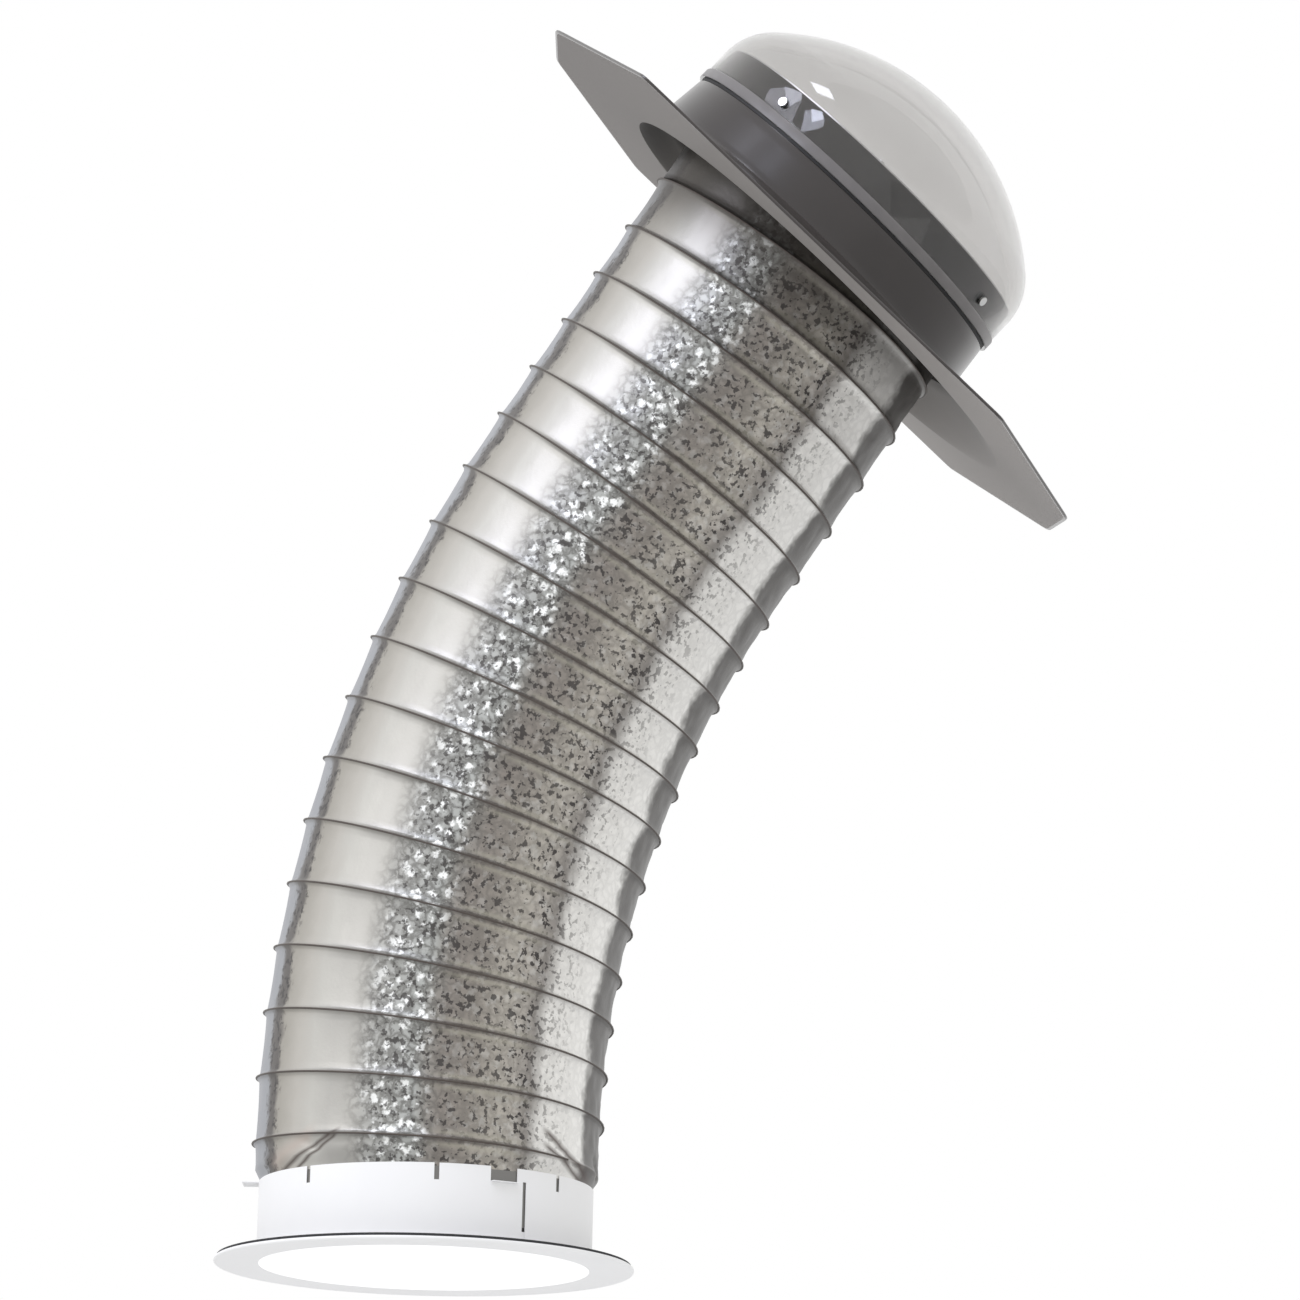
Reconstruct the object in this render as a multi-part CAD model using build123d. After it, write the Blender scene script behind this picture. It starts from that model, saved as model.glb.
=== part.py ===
from build123d import *
from math import cos, sin, tan, radians, pi, asin
import os

# A tubular skylight: a domed roof flashing, a bent flexible foil duct and a
# round ceiling frame. Millimetres, +Z up, origin on the ceiling plane at the
# centre of the ceiling frame, the duct leaning toward +X.

# Clearances
FIT = 0.3
SNUG = 0.05
SCREW_FIT = 0.4
OVERCUT = 10.0

# Duct
DUCT_R = 177.5
FOIL_T = 0.8
WIRE_R = 1.7
WIRE_PITCH = 60.0
WIRE_STEPS = 24
WIRE_RISE = 3.0
WIRE_OVERRUN = 12.0
WIRE_ANGLE = -167.5
WIRE_ANGLE_AT = 117.0
STRAIGHT_TOP = 118.0
BEND_R = 1200.0
BEND_ANGLE = 33.6
RUN = 372.7
NECK_BEND_R = 220.0
CUFF = 24.0
CUFF_GAP = 2.06
GATHER_GAP = 1.0
GATHER_RISE = 12.0
FOOT_GAP = 4.0

# Ceiling frame
GASKET_T = 3.0
GASKET_EDGE = 3.0
GASKET_W = 23.0
RING_INSET = 7.5
RING_W = 46.0
RING_WALL = 1.2
RING_T = 3.5
RING_EDGE_W = 12.0
RING_EDGE_H = 1.2
RING_CHAMFER = 0.6
UPSTAND_TOP = 14.0

# Collar
COLLAR_T = 0.8
COLLAR_TOP = 77.0
SEAM_ANGLE = -40.5
SEAM_W = 4.0
TONGUE_H = 13.0
SLOT_COUNT = 7
SLOT_FIRST = -119.2
SLOT_STEP = 47.1
SLOT_W = 5.0
SLOT_DEPTH = 17.0
TAB_ANGLE = -48.5
TAB_W = 30.0
TAB_DEPTH = 15.0
TAB_LENGTH = 6.0
EAR_STEP = 120.0
EAR_LENGTH = 17.0

# Diffuser
LENS_T = 3.0
LENS_BULGE = 4.0
HOOK_COUNT = 3
HOOK_FIRST = 20.0
HOOK_W = 16.0
HOOK_T = 2.2
HOOK_INSET = 1.2
HOOK_REACH = 1.0
HOOK_LIP_T = 1.5

# Hoop that holds the foil's end inside the collar
HOOP_T = 1.5
HOOP_W = 16.0
HOOP_Z = 34.0
HOOP_GAP = 14.0

# Roof flashing
ROOF_TILT = 43.7
ROOF_TWIST = 17.8
SHEET_T = 1.5
SHEET_HALF_X = 368.0
SHEET_HALF_Y = 395.0
SHEET_SHIFT = 25.0
CUT_X = 122.0
CUT_Y = 280.0
CORNER_R = 14.0
HEM_W = 11.0
MOUND_SHIFT = 41.0
MOUND_RUN_X = 51.0
MOUND_RUN_Y = 90.0
MOUND_TOP = 27.0
TURRET_DRAFT = 5.5
TURRET_STEP = 1.5
TURRET_EDGE_H = 2.0
TURRET_EDGE_W = 1.2
SHOULDER_Z = 78.0
NECK_H = 47.0
LIP_GAP = 12.5
LIP_W = 11.0

# Dome
SEAL_T = 3.0
SEAL_INSET = 2.0
DOME_GAP = 3.0
DOME_T = 3.0
DOME_RIM_OUT = 1.6
DOME_RIM_H = 11.0
SKIRT_H = 40.0
SHOULDER_R = 67.0
CROWN_R = 275.0
SCREW_COUNT = 4
SCREW_FIRST = -34.0
SCREW_RISE = 26.0
SCREW_R = 2.0
SCREW_TAIL = 6.5
HEAD_R = 5.0
HEAD_H = 2.4
GROMMET_R = 7.0

# Adapter between the duct and the flashing
ADAPTER_T = 1.2
ADAPTER_EXTRA = 3.0
FLANGE_EDGE = 3.5
RIVET_COUNT = 4
RIVET_R = 1.6
RIVET_TAIL = 2.0
RIVET_HEAD_R = 3.2
RIVET_HEAD_H = 1.2

# Band clamp
BAND_T = 0.9
BAND_W = 11.0
BAND_GAP = 9.0
HOUSING_L = 24.0
HOUSING_H = 8.0
HOUSING_SINK = 0.4
CLAMP_SCREW_R = 3.0
CLAMP_SCREW_L = 34.0
CLAMP_HEAD_EXTRA = 0.9
CLAMP_HEAD_L = 5.0

# Radii that follow the duct
FOIL_IN_R = DUCT_R - FOIL_T
RING_IN_R = DUCT_R - RING_INSET
RING_WALL_R = RING_IN_R + RING_WALL
RING_OUT_R = RING_IN_R + RING_W
GASKET_OUT_R = RING_OUT_R - GASKET_EDGE
GASKET_IN_R = GASKET_OUT_R - GASKET_W
COLLAR_IN_R = RING_WALL_R + FIT
COLLAR_OUT_R = COLLAR_IN_R + COLLAR_T
GATHER_R = COLLAR_IN_R - FIT
LIP_IN_R = DUCT_R + LIP_GAP
NECK_R = LIP_IN_R + LIP_W
DOME_R = NECK_R + DOME_GAP + DOME_T
SEAL_OUT_R = DOME_R - SEAL_INSET
TURRET_TOP_R = DOME_R - TURRET_STEP
TURRET_FOOT_R = TURRET_TOP_R + TURRET_DRAFT
FLANGE_R = NECK_R - FLANGE_EDGE
RIVET_CIRCLE_R = (LIP_IN_R + FLANGE_R) / 2

# Heights at the ceiling, from the ceiling plane
RING_BACK_Z = -GASKET_T
RING_FACE_Z = RING_BACK_Z - RING_T
COLLAR_FOOT = RING_BACK_Z + FIT
FOIL_FOOT = UPSTAND_TOP + FOOT_GAP
GATHER_BOTTOM = COLLAR_TOP + GATHER_GAP
GATHER_TOP = GATHER_BOTTOM + GATHER_RISE
WIRE_START = GATHER_TOP + WIRE_RISE

# Heights at the roof, from the flashing's sheet along its normal
NECK_TOP = SHOULDER_Z + NECK_H
RIM_Z = SHOULDER_Z + SEAL_T
SKIRT_TOP = SHOULDER_Z + SKIRT_H
SCREW_Z = SHOULDER_Z + SCREW_RISE
FLANGE_Z = NECK_TOP + FIT
CUFF_START_T = NECK_TOP - SHEET_T - CUFF_GAP - CUFF

# Points derived from the duct's run
A1 = radians(BEND_ANGLE)
A2 = radians(ROOF_TILT)
BEND_LENGTH = BEND_R * A1
BEND_END = (BEND_R * (1 - cos(A1)), STRAIGHT_TOP + BEND_R * sin(A1))
RUN_END = (BEND_END[0] + RUN * sin(A1), BEND_END[1] + RUN * cos(A1))
NECK_TANGENT = NECK_BEND_R * tan((A2 - A1) / 2)
NECK_END = (RUN_END[0] + NECK_TANGENT * (sin(A1) + sin(A2)), RUN_END[1] + NECK_TANGENT * (cos(A1) + cos(A2)))
ROOF_POINT = (NECK_END[0] - CUFF_START_T * sin(A2), NECK_END[1] - CUFF_START_T * cos(A2))
WIRE_SAG = (DUCT_R + 2 * WIRE_R) * (1 - cos(pi / WIRE_STEPS))
WIRE_MIDDLE_R = DUCT_R + FIT + WIRE_R + WIRE_SAG


def roof_location():
    """The flashing's own frame: Z is its normal, the turret's axis is at X 0, Y 0."""
    c, s = cos(radians(ROOF_TWIST)), sin(radians(ROOF_TWIST))
    along = (cos(A2) * c, s, -sin(A2) * c)
    plane = Plane(origin=(ROOF_POINT[0], 0, ROOF_POINT[1]), x_dir=along, z_dir=(sin(A2), 0, cos(A2)))
    return plane.location


def turned(points):
    """A ring turned about Z from a closed outline of (radius, height) points."""
    with BuildPart() as part:
        with BuildSketch(Plane.XZ):
            with BuildLine():
                Polyline(*points, close=True)
            make_face()
        revolve(axis=Axis.Z)
    return part.part


def tube(outer, inner, bottom, top):
    """A plain round tube on the Z axis."""
    return turned([(inner, bottom), (outer, bottom), (outer, top), (inner, top)])


def around(shape, first, count):
    """Equally spaced copies of a shape about Z, the first at an angle."""
    return [shape.rotate(Axis.Z, first + 360.0 * i / count) for i in range(count)]


def block(x, y, z, centre):
    """A box by its sizes and its centre."""
    return Box(x, y, z).moved(Location(centre))


def rod(radius, start, end, z=0.0):
    """A round bar along X between two radii at a height."""
    bar = Cylinder(radius, end - start, align=(Align.CENTER, Align.CENTER, Align.MIN))
    return bar.rotate(Axis.Y, 90).moved(Location((start, 0, z)))


def duct_point(s):
    """The duct's centre line at a length s: x, z and its lean in radians."""
    if s < STRAIGHT_TOP:
        return 0.0, s, 0.0
    s -= STRAIGHT_TOP
    if s < BEND_LENGTH:
        a = s / BEND_R
        return BEND_R * (1 - cos(a)), STRAIGHT_TOP + BEND_R * sin(a), a
    s -= BEND_LENGTH
    if s < RUN:
        return BEND_END[0] + s * sin(A1), BEND_END[1] + s * cos(A1), A1
    a = min(A1 + (s - RUN) / NECK_BEND_R, A2)
    x = RUN_END[0] + NECK_BEND_R * (cos(A1) - cos(a))
    return x, RUN_END[1] + NECK_BEND_R * (sin(a) - sin(A1)), a


def lean_plane(x, z, lean):
    """A plane square to the duct's centre line."""
    return Plane(origin=(x, 0, z), x_dir=(cos(lean), 0, -sin(lean)), z_dir=(sin(lean), 0, cos(lean)))


def annulus(plane):
    """The foil's ring section on a plane."""
    with BuildSketch(plane) as sketch:
        Circle(DUCT_R)
        Circle(FOIL_IN_R, mode=Mode.SUBTRACT)
    return sketch.sketch


def make_foil_foot():
    """The foil duct's straight foot, gathered in to enter the collar."""
    return turned([
        (GATHER_R - FOIL_T, FOIL_FOOT), (GATHER_R, FOIL_FOOT),
        (GATHER_R, GATHER_BOTTOM), (DUCT_R, GATHER_TOP), (DUCT_R, STRAIGHT_TOP),
        (FOIL_IN_R, STRAIGHT_TOP), (FOIL_IN_R, GATHER_TOP), (GATHER_R - FOIL_T, GATHER_BOTTOM)])


def make_foil_bend(start):
    """One half of the foil duct's bend, from a length along the centre line."""
    section = annulus(lean_plane(*duct_point(start)))
    axis = Axis((BEND_R, 0, STRAIGHT_TOP), (0, 1, 0))
    return revolve(section, axis=axis, revolution_arc=BEND_ANGLE / 2)


def make_foil_run():
    """The foil duct's straight run, the short bend above it and the cuff in the turret."""
    run = extrude(annulus(lean_plane(*BEND_END, A1)), RUN)
    centre = (RUN_END[0] + NECK_BEND_R * cos(A1), 0, RUN_END[1] - NECK_BEND_R * sin(A1))
    neck = revolve(annulus(lean_plane(*RUN_END, A1)),
                   axis=Axis(centre, (0, 1, 0)), revolution_arc=ROOF_TILT - BEND_ANGLE)
    cuff = extrude(annulus(lean_plane(*NECK_END, A2)), CUFF)
    return run + neck + cuff


def wire_frame(s):
    """The wire's middle at a length s, and the outward direction there."""
    x, z, lean = duct_point(s)
    turn = radians(WIRE_ANGLE) - 2 * pi * (s - WIRE_ANGLE_AT) / WIRE_PITCH
    out = Vector(cos(turn) * cos(lean), sin(turn), -cos(turn) * sin(lean))
    return Vector(x, 0, z) + out * WIRE_MIDDLE_R, out


def make_helix_wire():
    """The left-handed wire helix around the foil, in short straight lengths."""
    end = STRAIGHT_TOP + BEND_LENGTH + RUN + WIRE_OVERRUN
    step = WIRE_PITCH / WIRE_STEPS
    count = int((end - WIRE_START) / step)
    frames = [wire_frame(WIRE_START + step * i) for i in range(count + 1)]
    sections = []
    for i, (point, out) in enumerate(frames):
        ahead = frames[min(i + 1, count)][0] - frames[max(i - 1, 0)][0]
        side = ahead.normalized().cross(out).normalized()
        corners = [point + out * WIRE_R, point + side * WIRE_R, point - out * WIRE_R, point - side * WIRE_R]
        sections.append(Wire.make_polygon(corners, close=True))
    return Solid.make_loft(sections, ruled=True)


def make_ceiling_ring():
    """The white ceiling frame with a softened edge and an upstand for the collar."""
    bend = (RING_OUT_R - RING_EDGE_W, RING_FACE_Z)
    edge = (RING_OUT_R, RING_BACK_Z - RING_EDGE_H)
    with BuildPart() as part:
        with BuildSketch(Plane.XZ):
            with BuildLine():
                Polyline((RING_IN_R, UPSTAND_TOP), (RING_IN_R, RING_FACE_Z), bend)
                Spline(bend, edge, tangents=((1, 0), (0, 1)))
                Polyline(edge, (RING_OUT_R - RING_CHAMFER, RING_BACK_Z), (RING_WALL_R, RING_BACK_Z),
                         (RING_WALL_R, UPSTAND_TOP), (RING_IN_R, UPSTAND_TOP))
            make_face()
        revolve(axis=Axis.Z)
    return part.part


def make_ceiling_gasket():
    """The dark foam strip on the back of the ceiling frame."""
    return tube(GASKET_OUT_R, GASKET_IN_R, -GASKET_T, 0)


def collar_tab(length, height):
    """A tab on the collar bent straight outward, along +X at a height."""
    start = COLLAR_IN_R - 2 * COLLAR_T
    reach = COLLAR_OUT_R + length - start
    tab = block(reach, TAB_W, COLLAR_T, (start + reach / 2, 0, height - COLLAR_T / 2))
    return tab - Cylinder(COLLAR_IN_R, 4 * COLLAR_TOP)


def make_ceiling_collar():
    """The white collar strip: open seam under a tongue, slots, a notch and bent-out tabs."""
    collar = tube(COLLAR_OUT_R, COLLAR_IN_R, COLLAR_FOOT, COLLAR_TOP)
    slot = block(2 * OVERCUT, SLOT_W, SLOT_DEPTH * 2, (COLLAR_OUT_R, 0, COLLAR_TOP))
    for i in range(SLOT_COUNT):
        collar -= slot.rotate(Axis.Z, SLOT_FIRST + SLOT_STEP * i)
    seam_top = COLLAR_TOP - TONGUE_H
    seam_foot = COLLAR_FOOT - OVERCUT
    seam = block(2 * OVERCUT, SEAM_W, seam_top - seam_foot, (COLLAR_OUT_R, 0, (seam_top + seam_foot) / 2))
    collar -= seam.rotate(Axis.Z, SEAM_ANGLE)
    notch = block(2 * OVERCUT, TAB_W, TAB_DEPTH * 2, (COLLAR_OUT_R, 0, COLLAR_TOP))
    collar -= notch.rotate(Axis.Z, TAB_ANGLE)
    collar += collar_tab(TAB_LENGTH, COLLAR_TOP - TAB_DEPTH).rotate(Axis.Z, TAB_ANGLE)
    for side in (-1, 1):
        collar += collar_tab(EAR_LENGTH, COLLAR_TOP).rotate(Axis.Z, TAB_ANGLE + side * EAR_STEP)
    return collar


def make_diffuser():
    """The opal ceiling lens with three moulded hooks over the frame's upstand."""
    rim = RING_IN_R - FIT
    low = RING_FACE_Z
    with BuildPart() as part:
        with BuildSketch(Plane.XZ):
            with BuildLine():
                ThreePointArc((0, low - LENS_BULGE), (rim / 2, low - LENS_BULGE * 0.75), (rim, low))
                Polyline((rim, low), (rim, low + LENS_T))
                ThreePointArc((rim, low + LENS_T), (rim / 2, low + LENS_T - LENS_BULGE * 0.75),
                              (0, low + LENS_T - LENS_BULGE))
                Polyline((0, low + LENS_T - LENS_BULGE), (0, low - LENS_BULGE))
            make_face()
        revolve(axis=Axis.Z)
    lens = part.part
    hook_top = UPSTAND_TOP + FIT + HOOK_LIP_T
    hook_in = rim - HOOK_INSET - HOOK_T
    hook_out = RING_IN_R + HOOK_REACH
    root = low + LENS_T / 3
    stem = block(HOOK_T, HOOK_W, hook_top - root, (hook_in + HOOK_T / 2, 0, (hook_top + root) / 2))
    lip = block(hook_out - hook_in, HOOK_W, HOOK_LIP_T,
                ((hook_in + hook_out) / 2, 0, hook_top - HOOK_LIP_T / 2))
    for piece in around(stem + lip, HOOK_FIRST, HOOK_COUNT):
        lens += piece
    return lens


def make_retaining_hoop():
    """The sprung steel hoop that presses the foil's end against the collar."""
    outer = GATHER_R - FOIL_T - FIT
    hoop = tube(outer, outer - HOOP_T, HOOP_Z, HOOP_Z + HOOP_W)
    return hoop - block(2 * OVERCUT, HOOP_GAP, 4 * HOOP_W, (-outer, 0, HOOP_Z))


def sheet_outline(half_x, half_y, radius):
    """The flashing's eight-sided outline with softened corners."""
    cut_x, cut_y = CUT_X, CUT_Y
    points = [(half_x, half_y - cut_y), (half_x - cut_x, half_y)]
    points += [(-x, y) for x, y in reversed(points)]
    points += [(-x, -y) for x, y in points]
    with BuildSketch() as sketch:
        with Locations((SHEET_SHIFT, 0)):
            Polygon(*points, align=None)
        fillet(sketch.vertices(), radius)
    return sketch.sketch


def make_flashing():
    """The pressed roof flashing: hemmed sheet, ramped mound, turret and neck in one."""
    sheet = extrude(sheet_outline(SHEET_HALF_X, SHEET_HALF_Y, CORNER_R), SHEET_T)
    hem = extrude(sheet_outline(SHEET_HALF_X, SHEET_HALF_Y, CORNER_R), 2 * SHEET_T)
    hem -= extrude(sheet_outline(SHEET_HALF_X - HEM_W, SHEET_HALF_Y - HEM_W, CORNER_R - HEM_W), 2 * SHEET_T)

    def mound(shrink, top):
        foot_r = TURRET_FOOT_R - shrink * 2.5
        foot = Pos(MOUND_SHIFT, 0, 0) * Ellipse(foot_r + MOUND_RUN_X, foot_r + MOUND_RUN_Y)
        head = Pos(0, 0, top) * Circle(TURRET_FOOT_R - shrink)
        return loft([foot.face(), head.face()])

    t = SHEET_T
    outer = mound(0, MOUND_TOP) + turned([
        (0, MOUND_TOP), (TURRET_FOOT_R, MOUND_TOP), (TURRET_TOP_R, SHOULDER_Z - TURRET_EDGE_H),
        (TURRET_TOP_R - TURRET_EDGE_W, SHOULDER_Z), (NECK_R, SHOULDER_Z), (NECK_R, NECK_TOP), (0, NECK_TOP)])
    inner = mound(t, MOUND_TOP - t) + turned([
        (0, MOUND_TOP - t), (TURRET_FOOT_R - t, MOUND_TOP - t), (TURRET_TOP_R - t, SHOULDER_Z - t),
        (NECK_R - t, SHOULDER_Z - t), (NECK_R - t, NECK_TOP - t), (LIP_IN_R, NECK_TOP - t),
        (LIP_IN_R, NECK_TOP), (0, NECK_TOP)])
    body = sheet + hem + outer - inner
    hole = rod(SCREW_R + SCREW_FIT, NECK_R - OVERCUT, NECK_R + OVERCUT, SCREW_Z)
    for cutter in around(hole, SCREW_FIRST, SCREW_COUNT):
        body -= cutter
    return drilled(body)


def drilled(body):
    """Clears the rivet holes in the lip and the adapter's flange."""
    hole = Cylinder(RIVET_R + SCREW_FIT, 2 * OVERCUT).moved(Location((RIVET_CIRCLE_R, 0, NECK_TOP)))
    for cutter in around(hole, 0, RIVET_COUNT):
        body -= cutter
    return body


def make_dome_seal():
    """The black foam ring between the turret's shoulder and the dome's rim."""
    return tube(SEAL_OUT_R, NECK_R + FIT, SHOULDER_Z, RIM_Z)


def dome_profile(offset):
    """Key points of the dome's outer or inner surface: skirt, shoulder arc and crown arc."""
    mid_r = DOME_R - SHOULDER_R
    meet = asin(mid_r / (CROWN_R - SHOULDER_R))
    crown_z = SKIRT_TOP - (CROWN_R - SHOULDER_R) * cos(meet)
    r1, r2 = SHOULDER_R - offset, CROWN_R - offset
    half = (meet + pi / 2) / 2
    return {
        "foot": (DOME_R - offset, RIM_Z), "skirt": (DOME_R - offset, SKIRT_TOP),
        "arc": (mid_r + r1 * sin(half), SKIRT_TOP + r1 * cos(half)),
        "meet": (mid_r + r1 * sin(meet), SKIRT_TOP + r1 * cos(meet)),
        "crown": (r2 * sin(meet / 2), crown_z + r2 * cos(meet / 2)),
        "top": (0, crown_z + r2)}


def make_dome():
    """The thermoformed acrylic dome: clear skirt with a thick rim, and a domed cap."""
    a, b = dome_profile(0), dome_profile(DOME_T)
    with BuildPart() as part:
        with BuildSketch(Plane.XZ):
            with BuildLine():
                Polyline(b["foot"], a["foot"])
                Polyline(a["foot"], a["skirt"])
                ThreePointArc(a["skirt"], a["arc"], a["meet"])
                ThreePointArc(a["meet"], a["crown"], a["top"])
                Polyline(a["top"], b["top"])
                ThreePointArc(b["top"], b["crown"], b["meet"])
                ThreePointArc(b["meet"], b["arc"], b["skirt"])
                Polyline(b["skirt"], b["foot"])
            make_face()
        revolve(axis=Axis.Z)
    dome = part.part + tube(DOME_R + DOME_RIM_OUT, DOME_R - DOME_T / 2, RIM_Z, RIM_Z + DOME_RIM_H)
    hole = rod(SCREW_R + SCREW_FIT, DOME_R - OVERCUT, DOME_R + OVERCUT, SCREW_Z)
    for cutter in around(hole, SCREW_FIRST, SCREW_COUNT):
        dome -= cutter
    return dome


def make_dome_screws():
    """Pan-head screws that fix the dome's skirt to the neck."""
    head = rod(HEAD_R, DOME_R + FIT, DOME_R + FIT + HEAD_H, SCREW_Z)
    shank = rod(SCREW_R, NECK_R - SHEET_T - SCREW_TAIL, DOME_R + FIT + HEAD_H / 2, SCREW_Z)
    return around(head + shank, SCREW_FIRST, SCREW_COUNT)


def make_dome_grommets():
    """Rubber spacers between the neck and the dome's skirt, one on each screw."""
    ring = rod(GROMMET_R, NECK_R - FIT, DOME_R - DOME_T - FIT, SCREW_Z)
    ring -= rod(SCREW_R + SCREW_FIT, NECK_R - OVERCUT, DOME_R, SCREW_Z)
    ring -= Cylinder(NECK_R + SNUG, 4 * NECK_TOP)
    return around(ring, SCREW_FIRST, SCREW_COUNT)


def make_tube_adapter():
    """The aluminium adapter whose flange lies on the neck's lip, with the duct round its spigot."""
    outer = FOIL_IN_R - FIT
    low = CUFF_START_T - ADAPTER_EXTRA
    ring = turned([
        (outer - ADAPTER_T, low), (outer, low), (outer, FLANGE_Z),
        (FLANGE_R, FLANGE_Z), (FLANGE_R, FLANGE_Z + ADAPTER_T), (outer - ADAPTER_T, FLANGE_Z + ADAPTER_T)])
    return drilled(ring)


def make_adapter_rivets():
    """Rivets through the adapter's flange and the neck's lip."""
    grip = FIT + ADAPTER_T + SHEET_T
    shank = Cylinder(RIVET_R, grip + RIVET_TAIL, align=(Align.CENTER, Align.CENTER, Align.MAX))
    head = Cylinder(RIVET_HEAD_R, RIVET_HEAD_H, align=(Align.CENTER, Align.CENTER, Align.MIN))
    rivet = (shank + head).moved(Location((RIVET_CIRCLE_R, 0, FLANGE_Z + ADAPTER_T)))
    return around(rivet, 0, RIVET_COUNT)


def housing_middle():
    """The worm screw's radius and height in the clamp's housing."""
    return DUCT_R + FIT + BAND_T + HOUSING_H / 2 - HOUSING_SINK, CUFF_START_T + CUFF / 2


def make_band_clamp():
    """The split steel band round the duct's cuff, with its screw housing."""
    inner = DUCT_R + FIT
    low = CUFF_START_T + (CUFF - BAND_W) / 2
    band = tube(inner + BAND_T, inner, low, low + BAND_W)
    band -= block(2 * OVERCUT, BAND_GAP, 6 * BAND_W, (-inner, 0, low))
    radius, middle = housing_middle()
    housing = block(HOUSING_H, HOUSING_L, BAND_W, (-radius, 0, middle))
    housing -= Cylinder(inner + BAND_T / 2, 4 * NECK_TOP)
    bore = Cylinder(CLAMP_SCREW_R + FIT, 4 * HOUSING_L).rotate(Axis.X, 90)
    housing -= bore.moved(Location((-radius, 0, middle)))
    return band + housing


def make_clamp_screw():
    """The worm screw lying in the band clamp's housing."""
    radius, middle = housing_middle()
    screw = Cylinder(CLAMP_SCREW_R, CLAMP_SCREW_L).rotate(Axis.X, 90)
    head = Cylinder(CLAMP_SCREW_R + CLAMP_HEAD_EXTRA, CLAMP_HEAD_L).rotate(Axis.X, 90)
    head = head.moved(Location((0, CLAMP_SCREW_L / 2, 0)))
    return (screw + head).moved(Location((-radius, 0, middle)))


def write(name, shape, place=None):
    """Writes one node, a list of solids as one compound, moved to its place."""
    pieces = shape if isinstance(shape, list) else [shape]
    solids = [solid for piece in pieces for solid in piece.solids()]
    if place is not None:
        solids = [place * solid for solid in solids]
    out = solids[0] if len(solids) == 1 else Compound(solids)
    export_step(out, f"parts/{name}.step")


def main():
    os.makedirs("parts", exist_ok=True)
    write("ceiling_ring", make_ceiling_ring())
    write("ceiling_gasket", make_ceiling_gasket())
    write("ceiling_collar", make_ceiling_collar())
    write("diffuser", make_diffuser())
    write("retaining_hoop", make_retaining_hoop())
    write("foil_foot", make_foil_foot())
    write("foil_bend_lower", make_foil_bend(STRAIGHT_TOP))
    write("foil_bend_upper", make_foil_bend(STRAIGHT_TOP + BEND_LENGTH / 2))
    write("foil_run", make_foil_run())
    write("helix_wire", make_helix_wire())
    roof = roof_location()
    write("flashing", make_flashing(), roof)
    write("tube_adapter", make_tube_adapter(), roof)
    write("adapter_rivets", make_adapter_rivets(), roof)
    write("band_clamp", make_band_clamp(), roof)
    write("clamp_screw", make_clamp_screw(), roof)
    write("dome_seal", make_dome_seal(), roof)
    write("dome_grommets", make_dome_grommets(), roof)
    write("dome_screws", make_dome_screws(), roof)
    write("dome", make_dome(), roof)


main()
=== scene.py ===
"""A tubular skylight: domed roof flashing, bent foil duct and white ceiling frame.

Lengths are metres in the frame's own axes: +Z up through the ceiling frame, the duct
leaning toward +X. The photograph is taken from below, a little to the right.
"""

from __future__ import annotations

import logging
import math
from dataclasses import dataclass, field
from enum import Enum

import bmesh
import bpy
from mathutils import Matrix, Vector, noise


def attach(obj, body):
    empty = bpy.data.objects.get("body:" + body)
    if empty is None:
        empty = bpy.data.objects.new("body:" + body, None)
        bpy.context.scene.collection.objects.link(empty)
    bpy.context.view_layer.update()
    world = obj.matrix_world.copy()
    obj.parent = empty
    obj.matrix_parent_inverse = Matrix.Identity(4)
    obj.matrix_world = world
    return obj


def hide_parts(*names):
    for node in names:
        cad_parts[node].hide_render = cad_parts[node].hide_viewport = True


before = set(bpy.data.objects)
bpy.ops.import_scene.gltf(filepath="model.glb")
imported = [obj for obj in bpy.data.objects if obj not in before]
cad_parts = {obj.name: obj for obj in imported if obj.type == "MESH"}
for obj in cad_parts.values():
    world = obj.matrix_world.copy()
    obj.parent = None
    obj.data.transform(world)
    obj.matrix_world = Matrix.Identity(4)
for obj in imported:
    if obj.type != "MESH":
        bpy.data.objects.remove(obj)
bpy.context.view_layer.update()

log = logging.getLogger("skylight")

MM = 0.001
BODY = "root"
MERGE = 1e-6

Point = tuple[float, float]
Point3 = tuple[float, float, float]
Colour = tuple[float, float, float]
Levels = tuple[tuple[float, float], ...]
Tones = tuple[tuple[float, Colour], ...]
Socket = bpy.types.NodeSocket
Material = bpy.types.Material
Piece = bpy.types.Object
Shape = bmesh.types.BMesh
Places = list[tuple[bmesh.types.BMVert, int, int]]


class Zone(Enum):
    """The coats on the flashing, by material index; the backing and the recess carry painted shade."""

    OUTSIDE = 0
    BACKING = 1
    RECESS = 2


class Loop(Enum):
    """How a station of the flashing runs round the turret's axis."""

    ROUND = "a circle"
    RAMP = "between the turret's foot and the mound's foot"
    SHEET = "between the mound's foot and the sheet's edge"


def smooth_step(value: float) -> float:
    """A value from 0 to 1, eased at both ends."""
    value = min(max(value, 0.0), 1.0)
    return value * value * (3 - 2 * value)


def mix(a: float, b: float, share: float) -> float:
    """A plain blend of two numbers."""
    return a + (b - a) * share


def scaled(colour: Colour, share: float) -> Colour:
    """A colour made darker or lighter by a share."""
    return tuple(min(part * share, 1.0) for part in colour)


# Finishes


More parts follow.
